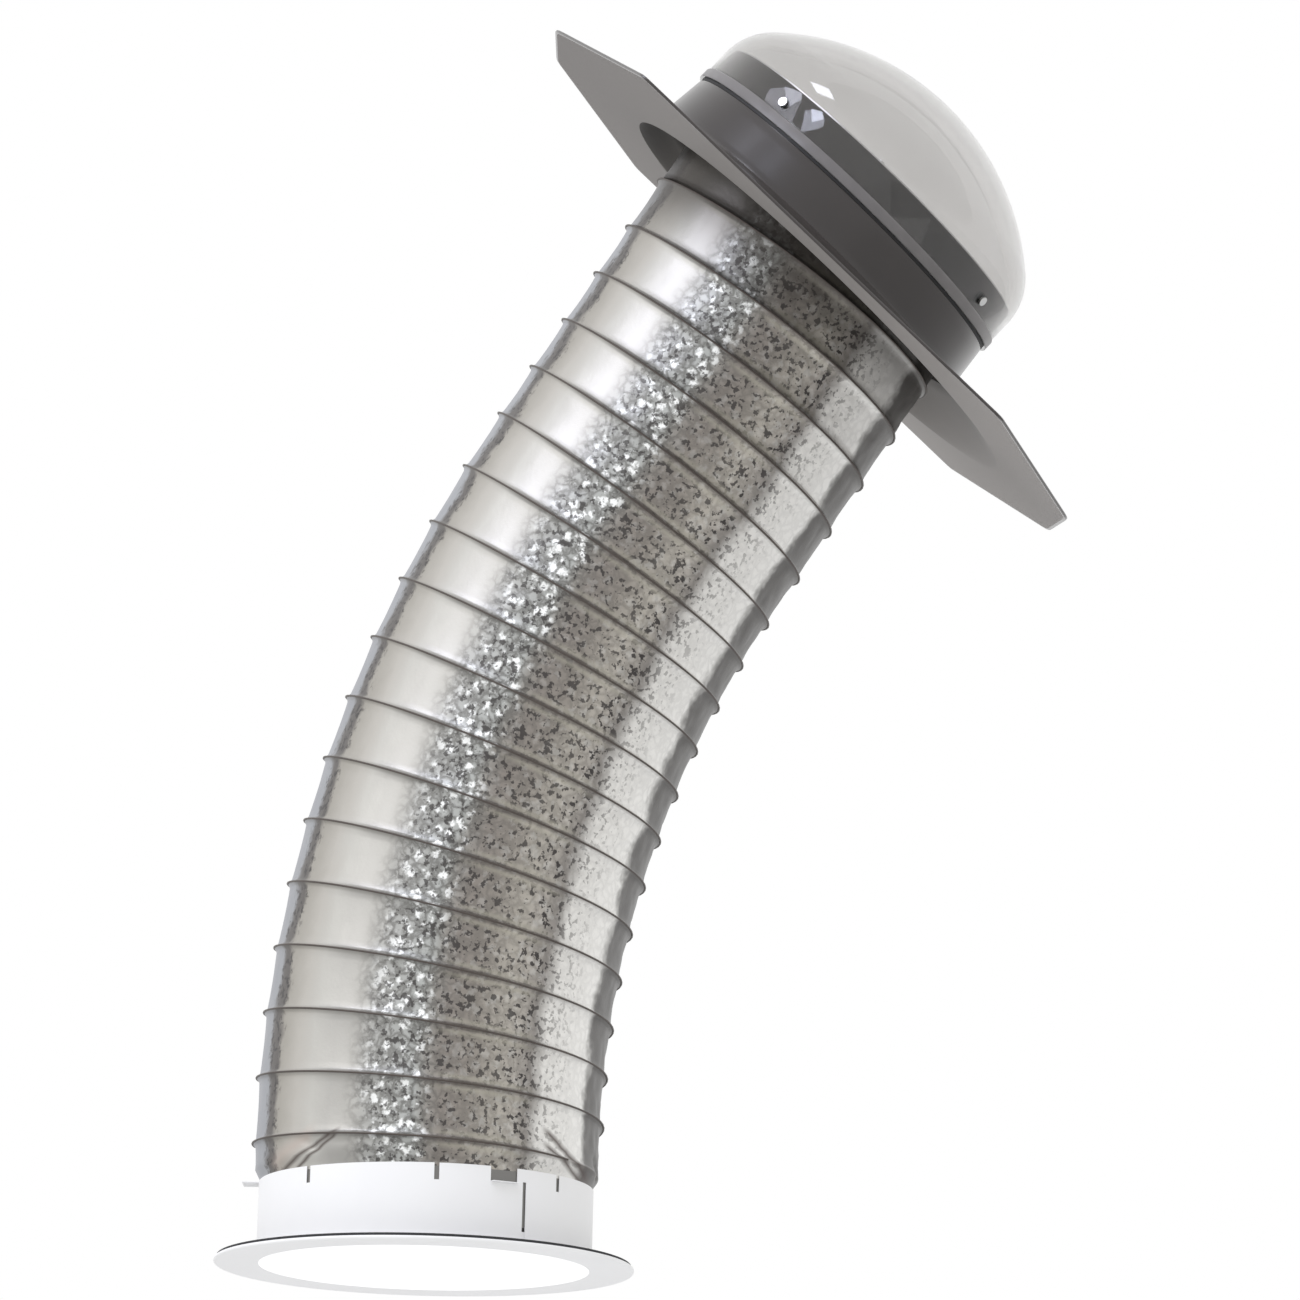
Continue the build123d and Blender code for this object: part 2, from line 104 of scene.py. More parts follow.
class Nodes:
    """A material's node tree with short calls for what the finishes need."""

    def __init__(self, name: str) -> None:
        """Starts a material with its shader and the object's own coordinates."""
        self.material = bpy.data.materials.new(name)
        self.material.use_nodes = True
        self.tree = self.material.node_tree
        self.shader = self.tree.nodes["Principled BSDF"]
        self.coordinates = self.add("ShaderNodeTexCoord").outputs["Object"]

    def add(self, kind: str, **values: object) -> bpy.types.Node:
        """Adds a node and sets its inputs by name.

        Args:
            kind: the node's type name.
            values: input values by name, with underscores for spaces.

        Returns:
            The new node.
        """
        node = self.tree.nodes.new(kind)
        for key, value in values.items():
            node.inputs[key.replace("_", " ")].default_value = value
        return node

    def link(self, source: Socket, target: Socket) -> None:
        """Links two sockets."""
        self.tree.links.new(source, target)

    def surface(self, **values: object) -> None:
        """Sets the shader's own sockets by name, with underscores for spaces."""
        for key, value in values.items():
            self.shader.inputs[key.replace("_", " ")].default_value = value

    def paint(self, tone: Socket) -> None:
        """Gives the shader its colour."""
        self.link(tone, self.shader.inputs["Base Color"])

    def noise(self, scale: float, detail: float, rough: float) -> bpy.types.Node:
        """A noise texture on the object's own coordinates."""
        node = self.add("ShaderNodeTexNoise", Scale=scale, Detail=detail, Roughness=rough)
        self.link(self.coordinates, node.inputs["Vector"])
        return node

    def cloud(self, scale: float, detail: float, rough: float = 0.5) -> Socket:
        """The level of a noise on the object's own coordinates."""
        return self.noise(scale, detail, rough).outputs["Fac"]

    def crumpled(self, scale: float, reach: float) -> Socket:
        """The object's own coordinates, pushed about by a noise as far as a reach."""
        push = self.noise(scale, 3.0, 0.6)
        node = self.add("ShaderNodeVectorMath")
        node.operation = "MULTIPLY_ADD"
        node.inputs[1].default_value = (reach, reach, reach)
        self.link(push.outputs["Color"], node.inputs[0])
        self.link(self.coordinates, node.inputs[2])
        return node.outputs[0]

    def cells(self, scale: float, feature: str, place: Socket) -> Socket:
        """The distance that a cell texture gives on some coordinates."""
        node = self.add("ShaderNodeTexVoronoi", Scale=scale)
        node.feature = feature
        self.link(place, node.inputs["Vector"])
        return node.outputs["Distance"]

    def reckon(self, operation: str, *values: Socket | float, clamp: bool = False) -> Socket:
        """One step of reckoning on sockets and plain values."""
        node = self.add("ShaderNodeMath")
        node.operation = operation
        node.use_clamp = clamp
        for value, socket in zip(values, node.inputs):
            if isinstance(value, (int, float)):
                socket.default_value = value
            else:
                self.link(value, socket)
        return node.outputs[0]

    def product(self, a: Socket, b: Socket | float) -> Socket:
        """Two values multiplied."""
        return self.reckon("MULTIPLY", a, b)

    def difference(self, a: Socket | float, b: Socket | float, clamp: bool = False) -> Socket:
        """One value less another."""
        return self.reckon("SUBTRACT", a, b, clamp=clamp)

    def stripe(self, across: Socket, height: Socket, slope: float, start: float, width: float) -> Socket:
        """How near a point is to a sloping line.

        Args:
            across: the point's place across.
            height: its height.
            slope: how much the line rises from one side to the other.
            start: the line's height where across is 0.
            width: how far from the line the stripe fades out.

        Returns:
            The nearness, 1 on the line and 0 from a width away.
        """
        off = self.difference(self.reckon("MULTIPLY_ADD", across, -slope, height), start)
        return self.difference(1.0, self.reckon("DIVIDE", self.reckon("ABSOLUTE", off), width), clamp=True)

    def along(self, start: Vector, direction: Vector) -> Socket:
        """The distance of a point from a start, measured along a direction."""
        node = self.add("ShaderNodeVectorMath")
        node.operation = "DOT_PRODUCT"
        self.link(self.coordinates, node.inputs[0])
        node.inputs[1].default_value = direction
        return self.difference(node.outputs["Value"], start.dot(direction))

    def blend(self, under: Socket, over: Colour, amount: Socket) -> Socket:
        """A colour laid over another by an amount."""
        node = self.add("ShaderNodeMix")
        node.data_type = "RGBA"
        factor, a, b = node.inputs[0], node.inputs[6], node.inputs[7]
        b.default_value = (*over, 1.0)
        self.link(amount, factor)
        self.link(under, a)
        return node.outputs[2]

    def ramp(self, source: Socket, stops: Tones) -> Socket:
        """The colour that a ramp gives for a value.

        Args:
            source: the value.
            stops: positions with their colours.

        Returns:
            The colour.
        """
        node = self.add("ShaderNodeValToRGB")
        band = node.color_ramp
        while len(band.elements) < len(stops):
            band.elements.new(0.5)
        for element, (position, colour) in zip(band.elements, stops):
            element.position = position
            element.color = (*colour, 1.0)
        self.link(source, node.inputs["Fac"])
        return node.outputs["Color"]

    def levels(self, source: Socket, stops: Levels) -> Socket:
        """The plain level that a ramp gives for a value."""
        return self.ramp(source, tuple((position, (level,) * 3) for position, level in stops))

    def uneven(self, cloud: Socket, dark: Colour, light: Colour, softness: float) -> None:
        """Paints the surface with a tone that wanders between two colours.

        Args:
            cloud: the noise that it follows.
            dark: the colour in its lows.
            light: the colour in its highs.
            softness: half the width of the change between them.
        """
        self.paint(self.ramp(cloud, ((0.5 - softness, dark), (0.5 + softness, light))))

    def bump(self, source: Socket, strength: float, distance: float) -> None:
        """Raises the surface by a height."""
        node = self.add("ShaderNodeBump", Strength=strength, Distance=distance)
        self.link(source, node.inputs["Height"])
        self.link(node.outputs["Normal"], self.shader.inputs["Normal"])


@dataclass(frozen=True)
class PlainFinish:
    """A coat, metal or rubber with a fine grain and slight unevenness of tone."""

    name: str
    colour: Colour
    roughness: float
    metallic: float = 0.0
    coat: float = 0.0
    coat_roughness: float = 0.24
    gloss: float = 0.5
    cloud_scale: float = 9.0
    unevenness: float = 0.06
    grain: float = 900.0
    grain_height: float = 0.04 * MM
    glow: float = 0.0

    def build(self) -> Material:
        """Makes the material."""
        nodes = Nodes(self.name)
        nodes.surface(Roughness=self.roughness, Metallic=self.metallic, Specular_IOR_Level=self.gloss,
                      Coat_Weight=self.coat, Coat_Roughness=self.coat_roughness)
        dark, light = (scaled(self.colour, 1 + change) for change in (-self.unevenness, self.unevenness))
        nodes.uneven(nodes.cloud(self.cloud_scale, 5.0, 0.6), dark, light, 0.15)
        nodes.bump(nodes.cloud(self.grain, 2.0), 0.5, self.grain_height)
        # A glow is painted light: the part is no lamp.
        if self.glow:
            nodes.surface(Emission_Color=(1, 1, 1, 1), Emission_Strength=self.glow)
        return nodes.material


@dataclass(frozen=True)
class CoatWithPaintedShade:
    """The matt coat under the flashing, with painted shade that changes its tone down the sheet."""

    name: str
    stops: Tones
    roughness: float = 0.65
    reach: float = 400 * MM
    drift: float = 0.03
    cloud_scale: float = 14.0
    grain: float = 900.0
    grain_height: float = 0.04 * MM

    def build(self) -> Material:
        """Makes the material."""
        nodes = Nodes(self.name)
        nodes.surface(Roughness=self.roughness)
        down_sheet = nodes.along(ROOF.translation, ROOF.col[0].xyz)
        place = nodes.reckon("MULTIPLY_ADD", down_sheet, 0.5 / self.reach, 0.5)
        place = nodes.reckon("MULTIPLY_ADD", nodes.cloud(self.cloud_scale, 4.0, 0.6), self.drift, place)
        # The tone along the sheet is painted shade.
        nodes.paint(nodes.ramp(place, self.stops))
        nodes.bump(nodes.cloud(self.grain, 2.0), 0.5, self.grain_height)
        return nodes.material


@dataclass(frozen=True)
class AcrylicFinish:
    """Tinted acrylic, clear or ground."""

    name: str
    tint: Colour
    roughness: float
    clearness: float
    darkest: float
    cloud_scale: float
    cloud_detail: float
    ripple: float
    ripple_detail: float
    ripple_strength: float
    ripple_height: float
    bending: float = 1.49

    def build(self) -> Material:
        """Makes the material."""
        nodes = Nodes(self.name)
        nodes.surface(Roughness=self.roughness, Transmission_Weight=self.clearness, IOR=self.bending)
        cloud = nodes.cloud(self.cloud_scale, self.cloud_detail)
        nodes.uneven(cloud, scaled(self.tint, self.darkest), self.tint, 0.1)
        nodes.bump(nodes.cloud(self.ripple, self.ripple_detail), self.ripple_strength, self.ripple_height)
        return nodes.material


@dataclass(frozen=True)
class Fold:
    """A fold line at the duct's foot, drawn where a ramp across the duct lets it show: a line of painted
    shade, or the beige gusset.
    """

    shows: Levels
    slope: float
    start: float
    width: float


GUSSET: Levels = ((0.05, 0.0), (0.07, 0.6), (0.17, 0.6), (0.2, 0.0))
LEFT_FOLDS: Levels = ((0.045, 0.0), (0.07, 0.9), (0.25, 0.85), (0.27, 0.0))
RIGHT_FOLDS: Levels = ((0.84, 0.0), (0.86, 0.9), (0.97, 0.9), (1.0, 0.4))


@dataclass(frozen=True)
class FoilWithPaintedLight:
    """Laminated foil: brushed smooth on one side, crinkled into bright and dull facets on the other,
    with painted light on both.

    The mesh carries a "lay" attribute: the place across the duct as seen from the front
    (0 to 1), the distance to the nearest wire (0 to 1) and the height (0 to 1). The base colour
    across the duct is the foil's own colour with painted reflections and painted shade, bright
    and dark stripes set by the place as seen from the front; it and the strengths of the effects
    are ramps on the place across. The bright and dull facets are painted highlights and painted shade.
    """

    name: str = "crinkled_foil_with_painted_light"
    metallic: float = 0.5
    roughness: float = 0.36
    grain: float = 260.0
    grain_height: float = 0.5 * MM
    # The foil's own colour with painted reflections and painted shade: bright and dark stripes across the
    # duct as seen from the front.
    colour_and_painted_light: Tones = (
        (0.0, (0.27, 0.28, 0.31)), (0.034, (0.33, 0.34, 0.36)), (0.045, (0.11, 0.10, 0.093)),
        (0.062, (0.11, 0.10, 0.093)), (0.074, (0.36, 0.34, 0.30)), (0.13, (0.49, 0.47, 0.43)),
        (0.175, (0.51, 0.50, 0.465)), (0.23, (0.41, 0.40, 0.375)), (0.29, (0.385, 0.375, 0.35)),
        (0.35, (0.41, 0.41, 0.39)), (0.47, (0.44, 0.45, 0.43)), (0.505, (0.30, 0.285, 0.26)),
        (0.55, (0.255, 0.23, 0.205)), (0.62, (0.275, 0.25, 0.22)), (0.71, (0.44, 0.41, 0.36)),
        (0.76, (0.42, 0.39, 0.35)), (0.798, (0.28, 0.26, 0.24)), (0.835, (0.78, 0.765, 0.73)),
        (0.945, (0.88, 0.87, 0.84)), (0.962, (0.13, 0.125, 0.12)), (1.0, (0.08, 0.075, 0.07)))
    wander: float = 0.05
    wander_scale: float = 24.0

    # Painted shade in the creases between the crinkled facets.
    crease_shade: Colour = (0.10, 0.095, 0.085)
    crease_shade_cells: float = 88.0
    crease_shade_crumple: tuple[float, float] = (95.0, 14 * MM)
    crease_shade_edges: Levels = ((0.0, 0.9), (0.10, 0.6), (0.26, 0.0))
    crease_shade_strength: Levels = (
        (0.27, 0.0), (0.33, 0.65), (0.49, 0.85), (0.56, 0.4), (0.78, 0.4), (0.84, 0.15), (0.93, 0.12),
        (1.0, 0.4))
    # Painted highlights in the middles of the crinkled facets.
    glint: Colour = (0.97, 0.98, 0.96)
    painted_glint_cells: float = 84.0
    painted_glint_crumple: tuple[float, float] = (120.0, 16 * MM)
    painted_glint_middles: Levels = ((0.22, 1.0), (0.44, 0.0))
    painted_glint_strength: Levels = (
        (0.31, 0.0), (0.365, 0.85), (0.48, 1.0), (0.52, 0.08), (0.64, 0.12), (0.78, 0.15), (0.84, 0.0))
    speck: Colour = (0.045, 0.04, 0.038)
    speck_scale: float = 158.0
    speck_edges: Levels = ((0.54, 0.0), (0.6, 1.0))
    speck_free: Levels = ((0.08, 0.35), (0.35, 1.0))
    spotted: Levels = (
        (0.028, 0.0), (0.042, 1.0), (0.066, 1.0), (0.082, 0.0), (0.30, 0.0), (0.36, 0.8), (0.5, 0.85),
        (0.56, 0.9), (0.7, 0.8), (0.775, 1.0), (0.83, 0.6), (0.89, 0.25), (0.92, 0.0))

    # Painted sheen: a pale stripe beside each wire.
    band: Colour = (0.40, 0.38, 0.31)
    painted_sheen_place: Levels = ((0.1, 0.0), (0.2, 1.0), (0.36, 0.0))
    painted_sheen_strength: Levels = ((0.5, 0.0), (0.57, 0.55), (0.76, 0.45), (0.82, 0.0))
    # Painted shade along each wire.
    wire_shade: Colour = (0.10, 0.088, 0.075)
    wire_shade_place: Levels = ((0.0, 0.6), (0.05, 0.25), (0.12, 0.0))

    # Painted shade along the foot's fold lines.
    fold: Colour = (0.07, 0.05, 0.042)
    fold_shade_lines: tuple[Fold, ...] = (
        Fold(LEFT_FOLDS, 191 * MM, 61 * MM, 3.6 * MM), Fold(LEFT_FOLDS, 230 * MM, 47 * MM, 3 * MM),
        Fold(RIGHT_FOLDS, -237 * MM, 305.5 * MM, 5 * MM), Fold(RIGHT_FOLDS, -300 * MM, 374 * MM, 6 * MM))
    gusset: Colour = (0.50, 0.42, 0.37)
    gusset_fold: Fold = Fold(GUSSET, 191 * MM, 74 * MM, 13 * MM)
    # One plain darker tone on the foil inside the collar: painted shade.
    plain: Colour = (0.2, 0.195, 0.185)
    collar_shade_below: float = 74 * MM

    # Painted shade on the foil's top, where it reaches into the flashing.
    shade: Colour = (0.055, 0.048, 0.042)
    shade_most: float = 0.88
    shade_from: float = 1064 * MM
    shade_to: float = 1134 * MM

    def effect(self, nodes: Nodes, across: Socket, strength: Levels, pattern: Socket) -> Socket:
        """An effect's strength across the duct, times its pattern."""
        return nodes.product(nodes.levels(across, strength), pattern)

    def crinkles(self, nodes: Nodes, tone: Socket, across: Socket, from_wire: Socket) -> Socket:
        """The painted shade between the crinkled facets, painted highlights on them and dark specks."""
        gaps = nodes.cells(self.crease_shade_cells, "DISTANCE_TO_EDGE", nodes.crumpled(*self.crease_shade_crumple))
        crease_shade_mask = nodes.levels(gaps, self.crease_shade_edges)
        # Painted shade along the facets' edges.
        tone = nodes.blend(tone, self.crease_shade, self.effect(nodes, across, self.crease_shade_strength, crease_shade_mask))
        middles = nodes.cells(self.painted_glint_cells, "F1", nodes.crumpled(*self.painted_glint_crumple))
        painted_glints = nodes.levels(middles, self.painted_glint_middles)
        # Painted highlights on the crinkled side.
        tone = nodes.blend(tone, self.glint, self.effect(nodes, across, self.painted_glint_strength, painted_glints))
        specks = nodes.levels(nodes.cloud(self.speck_scale, 2.0, 0.6), self.speck_edges)
        between_wires = nodes.levels(from_wire, self.speck_free)
        amount = nodes.product(between_wires, self.effect(nodes, across, self.spotted, specks))
        return nodes.blend(tone, self.speck, amount)

    def wire_sides(self, nodes: Nodes, tone: Socket, across: Socket, from_wire: Socket) -> Socket:
        """The painted sheen beside each wire and the painted shade along it."""
        painted_sheens = nodes.levels(from_wire, self.painted_sheen_place)
        tone = nodes.blend(tone, self.band, self.effect(nodes, across, self.painted_sheen_strength, painted_sheens))
        # Painted shade along the wire.
        return nodes.blend(tone, self.wire_shade, nodes.levels(from_wire, self.wire_shade_place))

    def foot(self, nodes: Nodes, tone: Socket, across: Socket, height: Socket) -> Socket:
        """The gathered foot: brown fold lines of painted shade, a beige gusset, and one plain darker tone
        inside the collar, painted shade.
        """
        for fold, colour in [(self.gusset_fold, self.gusset)] + [(fold, self.fold) for fold in self.fold_shade_lines]:
            line = nodes.stripe(across, height, fold.slope, fold.start, fold.width)
            tone = nodes.blend(tone, colour, self.effect(nodes, across, fold.shows, line))
        # Painted shade on the foil inside the collar.
        return nodes.blend(tone, self.plain, nodes.reckon("LESS_THAN", height, self.collar_shade_below))

    def shaded(self, nodes: Nodes, tone: Socket, height: Socket) -> Socket:
        """Painted shade on the foil where it reaches up into the flashing."""
        above = nodes.difference(height, self.shade_from)
        share = nodes.reckon("DIVIDE", above, self.shade_to - self.shade_from, clamp=True)
        return nodes.blend(tone, self.shade, nodes.product(share, self.shade_most))

    def build(self) -> Material:
        """Makes the material."""
        nodes = Nodes(self.name)
        nodes.surface(Metallic=self.metallic, Roughness=self.roughness)
        lay = nodes.add("ShaderNodeAttribute")
        lay.attribute_name = "lay"
        parts = nodes.add("ShaderNodeSeparateXYZ")
        nodes.link(lay.outputs["Vector"], parts.inputs["Vector"])
        across, from_wire = parts.outputs["X"], parts.outputs["Y"]
        height = nodes.product(parts.outputs["Z"], RUN.end)
        pushed = nodes.reckon("MULTIPLY_ADD", nodes.cloud(self.wander_scale, 3.0, 0.6), self.wander, across)
        wavy = nodes.difference(pushed, self.wander / 2)
        # The base colour across the duct holds painted reflections and painted shade.
        tone = nodes.ramp(wavy, self.colour_and_painted_light)
        tone = self.crinkles(nodes, tone, wavy, from_wire)
        tone = self.wire_sides(nodes, tone, wavy, from_wire)
        tone = self.foot(nodes, tone, across, height)
        nodes.paint(self.shaded(nodes, tone, height))
        nodes.bump(nodes.cloud(self.grain, 4.0, 0.6), 0.25, self.grain_height)
        return nodes.material


def made(finish: PlainFinish | CoatWithPaintedShade | AcrylicFinish | FoilWithPaintedLight) -> Material:
    """A finish as a field that is made together with the others."""
    return field(default_factory=finish.build)


@dataclass
class Finishes:
    """Every finish of the object, made once."""

    white: Material = made(PlainFinish("white_powder_coat", (0.9,) * 3, 0.42, unevenness=0.01))
    # The lens's glow is painted light, standing in for light through the lens.
    opal: Material = made(PlainFinish("opal_lens_with_painted_glow", (0.95,) * 3, 0.3, glow=0.35, unevenness=0.01))
    foam: Material = made(PlainFinish(
        "dark_foam", (0.035, 0.035, 0.037), 0.9, grain=1600.0, grain_height=0.3 * MM))
    rubber: Material = made(PlainFinish("black_rubber", (0.015, 0.015, 0.016), 0.6))
    bronze: Material = made(PlainFinish(
        "bronze_gloss_coat", (0.038, 0.032, 0.03), 0.34, coat=0.75, gloss=0.18, grain=300.0))
    # The backing coat's own grey, with painted shade that makes it darker towards one end of the sheet.
    backing: Material = made(CoatWithPaintedShade("backing_coat_with_painted_shade", (
        (0.05, (0.19, 0.175, 0.167)), (0.5, (0.235, 0.22, 0.21)), (0.8, (0.30, 0.282, 0.27)))))
    # The recess's dark tone is painted shade, lighter towards one end of the sheet.
    recess: Material = made(CoatWithPaintedShade("recess_painted_shade", (
        (0.24, (0.05, 0.045, 0.04)), (0.32, (0.10, 0.09, 0.08)), (0.42, (0.055, 0.048, 0.042)),
        (0.64, (0.06, 0.053, 0.047)), (0.74, (0.12, 0.11, 0.10)), (0.87, (0.285, 0.268, 0.257)))))
    zinc: Material = made(PlainFinish("zinc_plate", (0.62, 0.62, 0.61), 0.35, metallic=1.0))
    alloy: Material = made(PlainFinish("mill_aluminium", (0.75, 0.75, 0.76), 0.35, metallic=1.0))
    wire: Material = made(PlainFinish("dark_wire", (0.09, 0.075, 0.065), 0.5, metallic=0.4))
    foil: Material = made(FoilWithPaintedLight())
    rim: Material = made(AcrylicFinish(
        "frosted_rim", (0.30, 0.285, 0.285), roughness=0.35, clearness=0.45, darkest=0.9, cloud_scale=60.0,
        cloud_detail=3.0, ripple=700.0, ripple_detail=2.0, ripple_strength=0.3, ripple_height=0.04 * MM))
    acrylic: Material = made(AcrylicFinish(
        "tinted_acrylic", (0.74, 0.73, 0.72), roughness=0.02, clearness=1.0, darkest=0.97, cloud_scale=6.0,
        cloud_detail=2.0, ripple=14.0, ripple_detail=1.0, ripple_strength=0.15, ripple_height=0.4 * MM))


# Making pieces


def add_piece(name: str, shape: Shape, materials: list[Material], sharp: float = math.radians(35)) -> Piece:
    """Turns a bmesh into a piece that rides on the body.

    Args:
        name: the piece's name.
        shape: the finished shape, freed here.
        materials: its materials, in the order of its faces' indices.
        sharp: the angle past which an edge stays sharp.

    Returns:
        The piece.
    """
    for face in shape.faces:
        face.smooth = True
    for edge in shape.edges:
        edge.smooth = len(edge.link_faces) == 2 and edge.calc_face_angle(0.0) < sharp
    mesh = bpy.data.meshes.new(name)
    shape.to_mesh(mesh)
    shape.free()
    for material in materials:
        mesh.materials.append(material)
    piece = bpy.data.objects.new(name, mesh)
    bpy.context.scene.collection.objects.link(piece)
    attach(piece, BODY)
    log.info("%s: %d faces", name, len(mesh.polygons))
    return piece


def wrapped_grid(across: int, along: int, carries: str = "") -> tuple[Shape, Places]:
    """A flat grid whose points are to be laid on a surface.

    Args:
        across: faces round the surface.
        along: faces along it.
        carries: the name of an attribute that its points hold, if any.

    Returns:
        The grid and its points with their places across and along.
    """
    shape = bmesh.new()
    if carries:
        shape.verts.layers.float_vector.new(carries)
    bmesh.ops.create_grid(shape, x_segments=across, y_segments=along, size=1.0)
    places = [(v, round((v.co.x + 1) / 2 * across), round((v.co.y + 1) / 2 * along)) for v in shape.verts]
    return shape, places


def close_seams(shape: Shape) -> None:
    """Joins the seams of a wrapped grid and turns its faces outward."""
    bmesh.ops.remove_doubles(shape, verts=shape.verts, dist=MERGE)
    bmesh.ops.dissolve_degenerate(shape, edges=shape.edges, dist=MERGE)
    bmesh.ops.recalc_face_normals(shape, faces=shape.faces)


def polished(node: str, material: Material) -> None:
    """Makes a smooth-shaded copy of a CAD node that stands for it."""
    shape = bmesh.new()
    shape.from_mesh(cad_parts[node].data)
    shape.transform(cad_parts[node].matrix_world)
    bmesh.ops.remove_doubles(shape, verts=shape.verts, dist=MERGE)
    piece = add_piece(f"{node}_shape", shape, [material])
    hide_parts(node)


# The duct


@dataclass(frozen=True)
class DuctRun:
    """The duct's centre line: straight, bend, straight, short bend, cuff."""

    straight_top: float = 118 * MM
    bend_r: float = 1200 * MM
    bend: float = math.radians(33.6)
    run: float = 372.7 * MM
    neck_r: float = 220 * MM
    tilt: float = math.radians(43.7)
    cuff: float = 24 * MM
    below_meeting: float = 78 * MM
    twist: float = math.radians(17.8)

    @property
    def bend_end(self) -> float:
        """The length at the end of the large bend."""
        return self.straight_top + self.bend_r * self.bend

    @property
    def run_end(self) -> float:
        """The length at the end of the straight run."""
        return self.bend_end + self.run

    @property
    def neck_end(self) -> float:
        """The length at the end of the short bend."""
        return self.run_end + self.neck_r * (self.tilt - self.bend)

    @property
    def end(self) -> float:
        """The length at the duct's end."""
        return self.neck_end + self.cuff

    def centre(self, s: float) -> tuple[Vector, float]:
        """The middle at a length.

        Args:
            s: the length from the ceiling plane.

        Returns:
            The point and its lean in radians.
        """
        if s <= self.straight_top:
            return Vector((0, 0, s)), 0.0
        lean = min((s - self.straight_top) / self.bend_r, self.bend)
        point = Vector((self.bend_r * (1 - math.cos(lean)), 0,
                        self.straight_top + self.bend_r * math.sin(lean)))
        if s <= self.bend_end:
            return point, lean
        ahead = Vector((math.sin(self.bend), 0, math.cos(self.bend)))
        point += ahead * min(s - self.bend_end, self.run)
        if s <= self.run_end:
            return point, self.bend
        lean = min(self.bend + (s - self.run_end) / self.neck_r, self.tilt)
        point.x += self.neck_r * (math.cos(self.bend) - math.cos(lean))
        point.z += self.neck_r * (math.sin(lean) - math.sin(self.bend))
        if s > self.neck_end:
            point += Vector((math.sin(lean), 0, math.cos(lean))) * (s - self.neck_end)
        return point, lean

    def around(self, s: float, angle: float, radius: float) -> Vector:
        """A point off the centre line at a length, an angle about it and a radius."""
        point, lean = self.centre(s)
        out = Vector((math.cos(angle) * math.cos(lean), math.sin(angle), -math.cos(angle) * math.sin(lean)))
        return point + out * radius

    def roof_frame(self) -> Matrix:
        """The flashing's own frame, Z along its normal and the turret on its axis."""
        start, _ = self.centre(self.run_end)
        tangent = self.neck_r * math.tan((self.tilt - self.bend) / 2)
        meeting = start + Vector((math.sin(self.bend), 0, math.cos(self.bend))) * tangent
        normal = Vector((math.sin(self.tilt), 0, math.cos(self.tilt)))
        side = math.cos(self.twist)
        along = Vector((math.cos(self.tilt) * side, math.sin(self.twist), -math.sin(self.tilt) * side))
        across = normal.cross(along)
        turn = Matrix((along, across, normal)).transposed().to_4x4()
        return Matrix.Translation(meeting - normal * self.below_meeting) @ turn


RUN = DuctRun()
ROOF = RUN.roof_frame()


@dataclass
class Helix:
    """The left-handed line that the wire follows round the duct."""

    pitch: float = 60 * MM
    angle_at: float = math.radians(-167.5)
    height_at: float = 117 * MM
    start: float = 93 * MM
    end: float = RUN.run_end + 12 * MM

    def height(self, angle: float, turn: int = 0) -> float:
        """The wire's length along the duct at an angle on a turn."""
        return self.height_at + self.pitch * (turn - (angle - self.angle_at) / math.tau)

    def away(self, s: float, angle: float) -> float:
        """How far along the duct the nearest wire is from a point."""
        share = ((s - self.height(angle)) / self.pitch) % 1.0
        return min(share, 1 - share) * self.pitch


